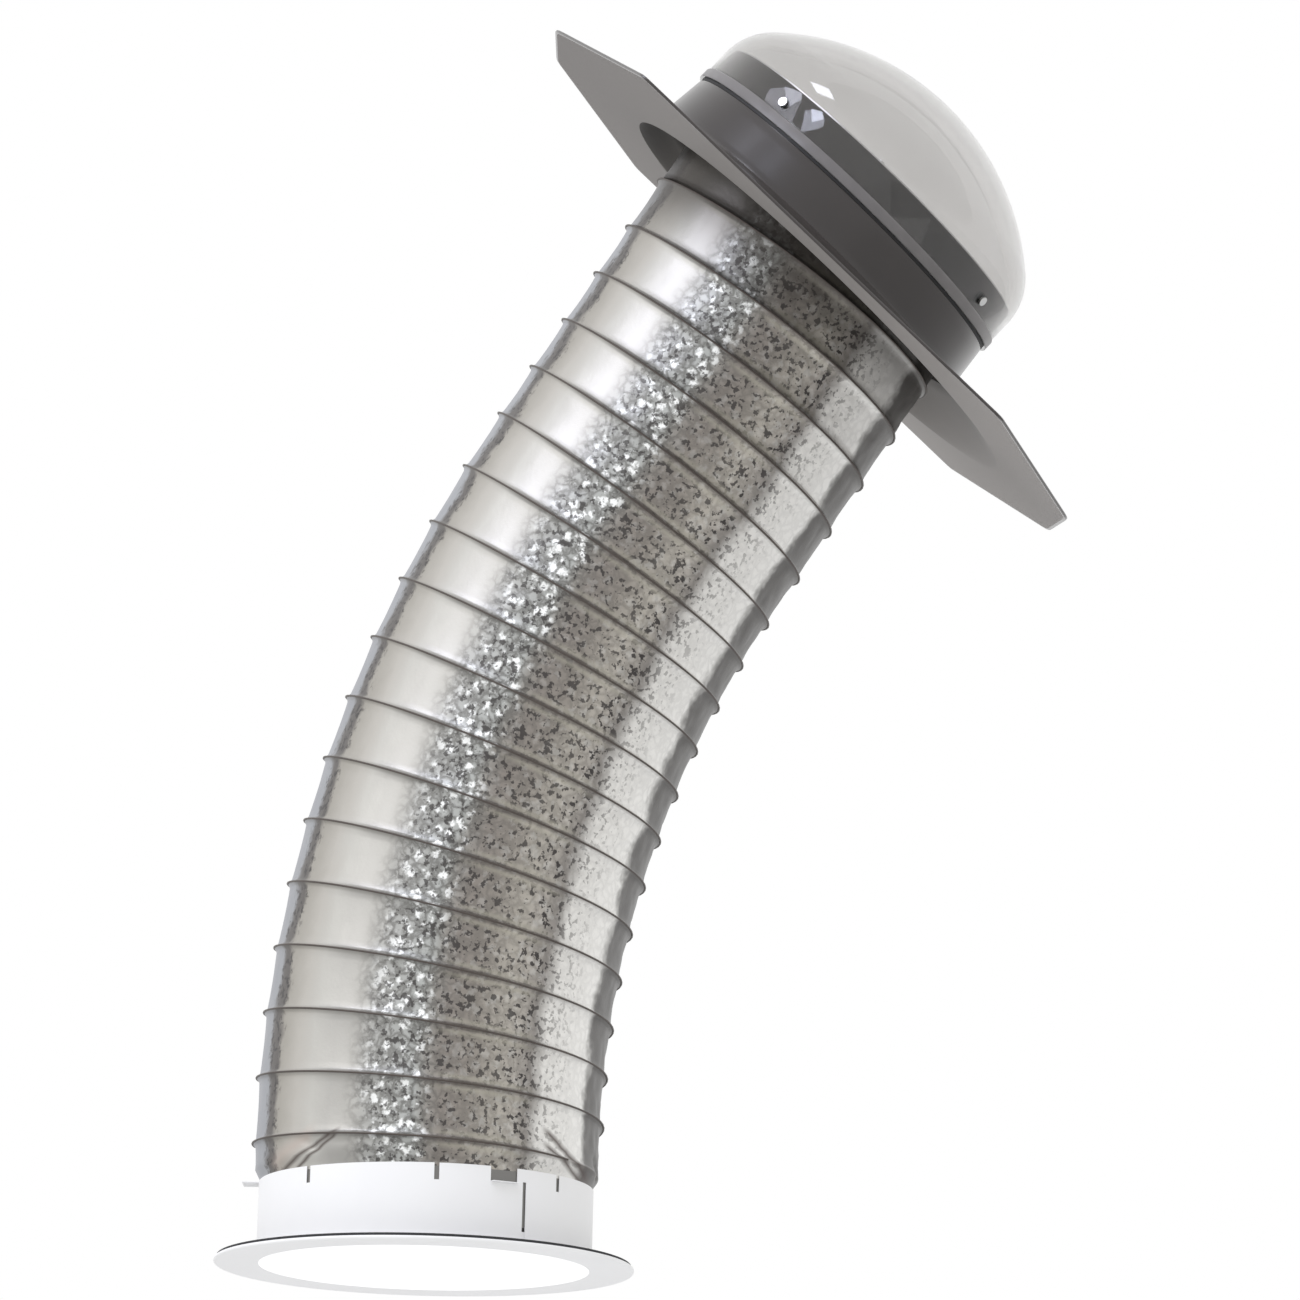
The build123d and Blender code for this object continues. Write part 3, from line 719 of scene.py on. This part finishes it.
@dataclass
class FoilDuct:
    """The crinkled foil with a rib over the wire, gathered in at its foot."""

    helix: Helix
    around: int = 240
    front: float = math.radians(-77.5)
    radius: float = 177.4 * MM
    rib: float = 2.8 * MM
    rib_width: float = 2.4 * MM
    rib_starts: float = 6 * MM
    slack: float = 1.0 * MM
    crease: float = 1.0 * MM
    crease_free: float = 5 * MM
    large_facets: float = 36.0
    small_facets: float = 85.0
    facet_shift: Point3 = (3.0, 5.0, 7.0)
    facet_edge: float = 0.5
    large_depth: float = 1.5
    small_depth: float = 0.6
    mean_depth: float = 0.75
    smooth_side: float = 0.26
    smooth_fade: float = 0.1
    smooth_share: float = 0.2
    lobes: float = 4.5
    lobe_twist: float = 60.0
    lobe_sway: float = 1.1
    lobe_sharpness: int = 3
    fold: float = 4.0 * MM
    fold_height: float = 16 * MM
    top_fade: float = 30 * MM
    foot: float = 18 * MM
    gather_r: float = 170.9 * MM
    gather_from: float = 78 * MM
    gather_to: float = 91 * MM
    fine_rows: tuple[float, ...] = (-4.4, -3.0, -2.0, -1.0, 0.0, 1.0, 2.0, 3.0, 4.4)
    plain_rows: int = 8
    first_turn: int = -2
    spare_turns: int = 2

    def rows(self) -> list[float]:
        """The heights of one pitch's rows, close together over the wire."""
        fine = [row * MM for row in self.fine_rows]
        free = self.helix.pitch - 2 * fine[-1]
        plain = [fine[-1] + free * (i + 1) / (self.plain_rows + 1) for i in range(self.plain_rows)]
        return fine + plain

    def across(self, angle: float) -> float:
        """The place across the duct as seen from the front, 0 at the left and 1 at the right."""
        return (1 + math.sin(angle - self.front)) / 2

    def creases(self, point: Vector) -> float:
        """The depth of the foil's creases at a point, from large facets and small ones."""
        large, _ = noise.voronoi(point * self.large_facets)
        small, _ = noise.voronoi(point * self.small_facets + Vector(self.facet_shift))
        broad, fine = (min(near[1] - near[0], self.facet_edge) for near in (large, small))
        return broad * self.large_depth + fine * self.small_depth - self.mean_depth

    def surface(self, s: float, angle: float) -> Vector:
        """The foil's outer face at a length and an angle."""
        away = self.helix.away(s, angle)
        wired = smooth_step((s - self.helix.start + self.rib_starts) / self.rib_starts)
        wired *= smooth_step((self.helix.end - s) / self.rib_starts)
        rib = self.rib * math.exp(-((away / self.rib_width) ** 2)) * wired
        radius = self.radius + rib - self.slack * math.sin(math.pi * away / self.helix.pitch) * wired
        free = 1 - math.exp(-((away / self.crease_free) ** 2)) * wired
        out = smooth_step((s - self.gather_from) / (self.gather_to - self.gather_from))
        top = smooth_step((RUN.neck_end - s) / self.top_fade)
        crinkled = smooth_step((self.across(angle) - self.smooth_side) / self.smooth_fade)
        rough = mix(self.smooth_share, 1.0, crinkled)
        radius += self.crease * rough * self.creases(RUN.around(s, angle, radius)) * free * out * top
        sway = self.lobe_sway * math.sin(3 * angle)
        lobes = abs(math.sin(self.lobes * angle + s * self.lobe_twist + sway))
        folded = math.exp(-(((s - self.gather_to) / self.fold_height) ** 2)) * out
        radius -= self.fold * (1 - lobes) ** self.lobe_sharpness * folded
        return RUN.around(s, angle, mix(self.gather_r, radius, out))

    def build(self, material: Material) -> None:
        """Makes the foil."""
        rows = self.rows()
        turns = math.ceil((RUN.end - self.foot) / self.helix.pitch) + self.spare_turns
        shape, places = wrapped_grid(self.around, turns * len(rows) - 1, "lay")
        lay = shape.verts.layers.float_vector["lay"]
        for vert, i, j in places:
            angle = self.helix.angle_at + math.tau * i / self.around
            turn, row = divmod(j, len(rows))
            s = self.helix.height(angle, turn + self.first_turn) + rows[row]
            s = min(max(s, self.foot), RUN.end)
            vert.co = self.surface(s, angle)
            # The place across, as seen from the front, sets where the foil's painted light falls.
            vert[lay] = (self.across(angle), self.helix.away(s, angle) * 2 / self.helix.pitch, s / RUN.end)
        close_seams(shape)
        piece = add_piece("foil_skin", shape, [material], math.radians(80))
        for length in ("foil_foot", "foil_bend_lower", "foil_bend_upper", "foil_run"):
            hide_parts(length)


@dataclass
class HelixWire:
    """The dark wire that shows along the crest of the foil's rib."""

    helix: Helix
    wire_r: float = 1.0 * MM
    middle_r: float = 180.8 * MM
    sides: int = 8
    per_turn: int = 72

    def build(self, material: Material) -> None:
        """Makes the wire."""
        length = self.helix.end - self.helix.start
        steps = int(length / self.helix.pitch * self.per_turn)
        shape, places = wrapped_grid(self.sides, steps)
        for vert, i, j in places:
            s = self.helix.start + length * j / steps
            angle = self.helix.angle_at - math.tau * (s - self.helix.height_at) / self.helix.pitch
            turn = math.tau * i / self.sides
            middle = RUN.around(s, angle, self.middle_r)
            centre, lean = RUN.centre(s)
            out = (middle - centre).normalized()
            up = Vector((math.sin(lean), 0, math.cos(lean)))
            vert.co = middle + (out * math.cos(turn) + up * math.sin(turn)) * self.wire_r
        close_seams(shape)
        bmesh.ops.holes_fill(shape, edges=shape.edges, sides=self.sides)
        piece = add_piece("wire_line", shape, [material])
        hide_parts("helix_wire")


# The roof end


@dataclass(frozen=True)
class Station:
    """One closed line round the flashing."""

    loop: Loop
    size: float
    height: float
    zone: Zone
    inset: float = 0.0


@dataclass
class RoofFlashing:
    """The pressed sheet, ramped mound, turret and neck, closed round its thickness."""

    around: int = 256
    sheet: float = 1.5 * MM
    half_x: float = 368 * MM
    half_y: float = 395 * MM
    shift: float = 25 * MM
    cut_x: float = 122 * MM
    cut_y: float = 280 * MM
    corner_power: float = 170.0
    corner_turns: tuple[float, ...] = (-1.1, -0.6, -0.2, 0.2, 0.6, 1.1)
    sheet_shares: tuple[float, ...] = (0.05, 0.3, 0.6, 1.0)
    hem: float = 11 * MM
    wrap: float = 3.5 * MM
    mound_shift: float = 41 * MM
    mound_x: float = 262 * MM
    mound_y: float = 301 * MM
    mound_top: float = 27 * MM
    ramp_steps: int = 15
    ramp_ease: float = 0.45
    foot_r: float = 211 * MM
    top_r: float = 205.5 * MM
    turret_steps: int = 4
    shoulder: float = 78 * MM
    neck_r: float = 201 * MM
    neck_top: float = 125 * MM
    lip_r: float = 190 * MM

    def angles(self) -> list[float]:
        """The turns of the columns round the flashing, close together at the sheet's corners."""
        corners = [(self.half_x, self.half_y - self.cut_y), (self.half_x - self.cut_x, self.half_y)]
        turns = [math.tau * i / self.around for i in range(self.around)]
        for x, y in corners:
            for corner in (math.atan2(y, x), math.atan2(y, -x), math.atan2(-y, x), math.atan2(-y, -x)):
                turns += [(corner + math.radians(step)) % math.tau for step in self.corner_turns]
        return sorted(turns) + [math.tau]

    def edge(self, angle: float, inset: float) -> Point:
        """The sheet's cut-cornered outline at an angle, with softened corners."""
        slope = math.atan2(self.cut_x, self.cut_y)
        corner_x, corner_y = self.half_x, self.half_y - self.cut_y
        cut = corner_x * math.cos(slope) + corner_y * math.sin(slope)
        sides = [(0.0, self.half_x), (math.pi, self.half_x),
                 (math.pi / 2, self.half_y), (-math.pi / 2, self.half_y)]
        sides += [(slope, cut), (-slope, cut), (math.pi - slope, cut), (slope - math.pi, cut)]
        power = self.corner_power
        total = sum(max(math.cos(angle - turn), 0.0) ** power / (reach - inset) ** power
                    for turn, reach in sides)
        radius = total ** (-1 / power)
        return self.shift + radius * math.cos(angle), radius * math.sin(angle)

    def mound(self, angle: float, inset: float) -> Point:
        """The mound's foot at an angle."""
        half_x, half_y = self.mound_x - inset, self.mound_y - inset
        return self.mound_shift + half_x * math.cos(angle), half_y * math.sin(angle)

    def place(self, station: Station, angle: float) -> Vector:
        """A station's point at an angle, in the frame."""
        if station.loop is Loop.ROUND:
            x, y = station.size * math.cos(angle), station.size * math.sin(angle)
        elif station.loop is Loop.RAMP:
            foot = self.mound(angle, station.inset)
            near = self.foot_r - station.inset
            x = mix(near * math.cos(angle), foot[0], station.size)
            y = mix(near * math.sin(angle), foot[1], station.size)
        else:
            foot, far = self.mound(angle, 0.0), self.edge(angle, station.inset)
            x, y = mix(foot[0], far[0], station.size), mix(foot[1], far[1], station.size)
        return ROOF @ Vector((x, y, station.height))

    def ramp(self, inset: float, zone: Zone, bottom: float) -> list[Station]:
        """The stations of the mound's slope from the turret down to the sheet."""
        top = self.mound_top - inset
        stations = []
        for i in range(1, self.ramp_steps + 1):
            share = i / self.ramp_steps
            eased = mix(share, smooth_step(share), self.ramp_ease)
            stations.append(Station(Loop.RAMP, share, mix(top, bottom, eased), zone, inset))
        return stations

    def outside(self) -> list[Station]:
        """The stations of the outer face, from the lip to the sheet's edge."""
        zone = Zone.OUTSIDE
        turns = [(self.lip_r, self.neck_top), (self.neck_r - 2 * MM, self.neck_top),
                 (self.neck_r - 0.6 * MM, self.neck_top - 0.6 * MM), (self.neck_r, self.neck_top - 2 * MM),
                 (self.neck_r, self.shoulder + 1 * MM), (self.neck_r + 0.4 * MM, self.shoulder + 0.3 * MM),
                 (self.neck_r + 1 * MM, self.shoulder), (self.top_r - 1.6 * MM, self.shoulder),
                 (self.top_r - 0.5 * MM, self.shoulder - 0.5 * MM), (self.top_r, self.shoulder - 2 * MM)]
        low = self.mound_top + 9 * MM
        for i in range(1, self.turret_steps + 1):
            share = i / self.turret_steps
            radius = mix(self.top_r, self.foot_r - 1 * MM, share)
            turns.append((radius, mix(self.shoulder - 2 * MM, low, share)))
        turns += [(self.foot_r - 0.4 * MM, self.mound_top + 4 * MM),
                  (self.foot_r + 0.6 * MM, self.mound_top + 1 * MM)]
        stations = [Station(Loop.ROUND, r, z, zone) for r, z in turns]
        stations += self.ramp(0.0, zone, self.sheet)
        for share in self.sheet_shares:
            stations.append(Station(Loop.SHEET, share, self.sheet, zone, self.hem))
        for layers, inset in ((2, self.hem - 0.4 * MM), (2, 1.2 * MM), (1.5, 0.2 * MM)):
            stations.append(Station(Loop.SHEET, 1.0, layers * self.sheet, zone, inset))
        return stations

    def underside(self) -> list[Station]:
        """The stations of the inner face, from the sheet's edge back to the lip."""
        t = self.sheet
        stations = [Station(Loop.SHEET, 1.0, 0.5 * t, Zone.OUTSIDE, 0.2 * MM),
                    Station(Loop.SHEET, 1.0, 0.0, Zone.OUTSIDE, 1.2 * MM)]
        for share in self.sheet_shares[::-1]:
            stations.append(Station(Loop.SHEET, share, 0.0, Zone.BACKING, self.wrap))
        stations += reversed(self.ramp(t, Zone.RECESS, 0.0))
        low, high = self.shoulder - t, self.neck_top - t
        turns = [(self.foot_r - 1.4 * t, self.mound_top + 2 * MM),
                 (self.foot_r - 2 * t, self.mound_top + 9 * MM),
                 (self.top_r - t, low - 2 * MM), (self.top_r - t - 1 * MM, low),
                 (self.neck_r - t + 1 * MM, low), (self.neck_r - t, low + 1 * MM),
                 (self.neck_r - t, high - 1 * MM), (self.neck_r - t - 1 * MM, high), (self.lip_r, high)]
        return stations + [Station(Loop.ROUND, r, z, Zone.RECESS) for r, z in turns]

    def build(self, finishes: Finishes) -> None:
        """Makes the flashing."""
        stations = self.outside() + self.underside()
        stations.append(stations[0])
        angles = self.angles()
        shape, places = wrapped_grid(len(angles) - 1, len(stations) - 1)
        rows: dict[bmesh.types.BMVert, int] = {}
        for vert, i, j in places:
            vert.co = self.place(stations[j], angles[i])
            rows[vert] = j
        for face in shape.faces:
            face.material_index = stations[min(rows[v] for v in face.verts)].zone.value
        close_seams(shape)
        piece = add_piece("flashing_shell", shape, [finishes.bronze, finishes.backing, finishes.recess])
        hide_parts("flashing")


@dataclass
class Dome:
    """The acrylic dome: a clear skirt with a thick rim under a shallow cap."""

    steps: int = 160
    radius: float = 207 * MM
    wall: float = 3 * MM
    rim_out: float = 1.6 * MM
    rim_height: float = 11 * MM
    bottom: float = 81 * MM
    skirt_top: float = 118 * MM
    shoulder_r: float = 67 * MM
    crown_r: float = 275 * MM
    shoulder_steps: int = 14
    crown_steps: int = 16

    def curve(self, inward: float) -> list[Point]:
        """The cap's curve from the skirt's top to the crown, set inward by a wall."""
        middle = self.radius - self.shoulder_r
        meet = math.asin(middle / (self.crown_r - self.shoulder_r))
        crown_z = self.skirt_top - (self.crown_r - self.shoulder_r) * math.cos(meet)
        points = []
        r = self.shoulder_r - inward
        for i in range(self.shoulder_steps + 1):
            turn = mix(math.pi / 2, meet, i / self.shoulder_steps)
            points.append((middle + r * math.sin(turn), self.skirt_top + r * math.cos(turn)))
        r = self.crown_r - inward
        for i in range(1, self.crown_steps + 1):
            turn = mix(meet, 0.0, i / self.crown_steps)
            points.append((r * math.sin(turn), crown_z + r * math.cos(turn)))
        return points

    def section(self) -> list[Point]:
        """The wall's outline, from the crown outside, round the rim, to the crown inside."""
        out, low = self.radius + self.rim_out, self.bottom
        top = low + self.rim_height
        rim = [(self.radius, top + 2 * MM), (self.radius + 0.4 * MM, top + 0.6 * MM),
               (out - 0.4 * MM, top - 0.2 * MM), (out, top - 1 * MM),
               (out, low + 0.6 * MM), (out - 0.6 * MM, low), (self.radius - self.wall, low)]
        return self.curve(0.0)[::-1] + rim + self.curve(self.wall)

    def build(self, finishes: Finishes) -> None:
        """Makes the dome."""
        shape = bmesh.new()
        line = [shape.verts.new((r, 0, z)) for r, z in self.section()]
        edges = [shape.edges.new(pair) for pair in zip(line, line[1:])]
        bmesh.ops.spin(shape, geom=line + edges, axis=(0, 0, 1), cent=(0, 0, 0), steps=self.steps,
                       angle=math.tau, use_merge=True)
        close_seams(shape)
        for face in shape.faces:
            middle = face.calc_center_median()
            low = middle.z < self.bottom + self.rim_height + 0.5 * MM
            face.material_index = 1 if low and middle.xy.length > self.radius - 1 * MM else 0
        shape.transform(ROOF)
        piece = add_piece("dome_shell", shape, [finishes.acrylic, finishes.rim])
        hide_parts("dome")


# The rest of the object, from the frame's own nodes


class CeilingFrame:
    """The ring, gasket, collar, lens and hoop at the ceiling."""

    def build(self, finishes: Finishes) -> None:
        """Makes the ceiling pieces."""
        for node, material in (("ceiling_ring", finishes.white), ("ceiling_gasket", finishes.foam),
                               ("ceiling_collar", finishes.white), ("diffuser", finishes.opal),
                               ("retaining_hoop", finishes.zinc)):
            polished(node, material)


class RoofFixings:
    """The seal, screws and spacers of the dome, and what joins the duct to the neck."""

    def build(self, finishes: Finishes) -> None:
        """Makes the roof end's small pieces."""
        for node, material in (("dome_seal", finishes.rubber), ("dome_grommets", finishes.rubber),
                               ("dome_screws", finishes.zinc), ("tube_adapter", finishes.alloy),
                               ("adapter_rivets", finishes.alloy), ("band_clamp", finishes.zinc),
                               ("clamp_screw", finishes.zinc)):
            polished(node, material)


# Studio


@dataclass(frozen=True)
class Lamp:
    """A soft square lamp."""

    name: str
    place: Point3
    size: float
    power: float
    colour: Colour = (1.0, 1.0, 1.0)

    def build(self, aim: Vector) -> None:
        """Makes the lamp, facing a point."""
        data = bpy.data.lights.new(self.name, "AREA")
        data.size = self.size
        data.color = self.colour
        data.energy = self.power
        lamp = bpy.data.objects.new(self.name, data)
        lamp.location = self.place
        lamp.rotation_mode = "QUATERNION"
        lamp.rotation_quaternion = (lamp.location - aim).to_track_quat("Z", "Y")
        bpy.context.scene.collection.objects.link(lamp)


@dataclass
class Studio:
    """A plain pale floor, a white surround and soft lamps."""

    floor_z: float = -2.2
    floor_size: float = 30.0
    floor_colour: Colour = (0.88, 0.88, 0.88)
    floor_roughness: float = 0.9
    surround: float = 0.84
    aim: Point3 = (0.3, 0.0, 0.65)
    lamps: tuple[Lamp, ...] = (
        Lamp("key", (-3.2, -3.0, 2.2), 2.2, 30.0),
        Lamp("fill", (2.6, -2.6, -2.0), 2.2, 12.0),
        Lamp("cool", (-1.5, -2.05, 2.9), 1.3, 31.0, (0.84, 0.86, 1.0)),
        Lamp("glint", (-0.5, -2.75, 2.44), 0.6, 12.0, (0.78, 0.82, 1.0)),
        Lamp("sky", (0.4, -1.5, 3.5), 0.6, 9.0, (0.86, 0.88, 1.0)))

    def floor(self) -> None:
        """Makes the floor, well below the object."""
        shape = bmesh.new()
        bmesh.ops.create_grid(shape, x_segments=1, y_segments=1, size=self.floor_size / 2,
                              matrix=Matrix.Translation((0, 0, self.floor_z)))
        mesh = bpy.data.meshes.new("floor")
        shape.to_mesh(mesh)
        shape.free()
        nodes = Nodes("pale_floor")
        nodes.surface(Base_Color=(*self.floor_colour, 1), Roughness=self.floor_roughness)
        mesh.materials.append(nodes.material)
        floor = bpy.data.objects.new("floor", mesh)
        bpy.context.scene.collection.objects.link(floor)

    def world(self) -> None:
        """A white surround for the eye and for reflections, dimmer as light."""
        world = bpy.data.worlds.new("surround")
        bpy.context.scene.world = world
        world.use_nodes = True
        tree = world.node_tree
        tree.nodes.clear()
        path = tree.nodes.new("ShaderNodeLightPath")
        light, seen = tree.nodes.new("ShaderNodeBackground"), tree.nodes.new("ShaderNodeBackground")
        light.inputs["Strength"].default_value = self.surround
        blend, out = tree.nodes.new("ShaderNodeMixShader"), tree.nodes.new("ShaderNodeOutputWorld")
        last = path.outputs["Is Camera Ray"]
        for name in ("Is Glossy Ray", "Is Transmission Ray"):
            most = tree.nodes.new("ShaderNodeMath")
            most.operation = "MAXIMUM"
            tree.links.new(last, most.inputs[0])
            tree.links.new(path.outputs[name], most.inputs[1])
            last = most.outputs[0]
        for node in (light, seen):
            node.inputs["Color"].default_value = (1, 1, 1, 1)
        tree.links.new(last, blend.inputs[0])
        tree.links.new(light.outputs[0], blend.inputs[1])
        tree.links.new(seen.outputs[0], blend.inputs[2])
        tree.links.new(blend.outputs[0], out.inputs["Surface"])

    def build(self) -> None:
        """Makes the studio."""
        self.floor()
        self.world()
        for lamp in self.lamps:
            lamp.build(Vector(self.aim))


@dataclass
class Viewpoint:
    """The camera at the photograph's place, under the object and looking up."""

    to_right: float = math.radians(12.5)
    upward: float = math.radians(13.91)
    roll: float = math.radians(1.35)
    distance: float = 6.0
    target: Vector = field(default_factory=lambda: Vector((0.22256, 0.0, 0.64121)))
    metres_per_pixel: float = 1.046 * MM
    image: float = 1300.0
    reach: float = 100.0

    def build(self) -> None:
        """Makes the camera."""
        ahead = Vector((-math.sin(self.to_right) * math.cos(self.upward),
                        math.cos(self.to_right) * math.cos(self.upward), math.sin(self.upward)))
        right = Vector((math.cos(self.to_right), math.sin(self.to_right), 0))
        up = right.cross(ahead)
        turned_right = right * math.cos(self.roll) + up * math.sin(self.roll)
        turned_up = up * math.cos(self.roll) - right * math.sin(self.roll)
        data = bpy.data.cameras.new("camera")
        data.lens = data.sensor_width * self.distance / (self.image * self.metres_per_pixel)
        data.clip_end = self.reach
        camera = bpy.data.objects.new("camera", data)
        camera.matrix_world = (Matrix.Translation(self.target - ahead * self.distance)
                               @ Matrix((turned_right, turned_up, -ahead)).transposed().to_4x4())
        bpy.context.scene.collection.objects.link(camera)
        bpy.context.scene.camera = camera


def main() -> None:
    """Builds the dressed skylight, its studio and its camera."""
    logging.basicConfig(level=logging.INFO, format="%(name)s: %(message)s")
    bpy.context.scene.view_settings.view_transform = "Standard"
    finishes = Finishes()
    helix = Helix()
    CeilingFrame().build(finishes)
    FoilDuct(helix).build(finishes.foil)
    HelixWire(helix).build(finishes.wire)
    RoofFlashing().build(finishes)
    Dome().build(finishes)
    RoofFixings().build(finishes)
    Studio().build()
    Viewpoint().build()


if __name__ == "__main__":
    main()
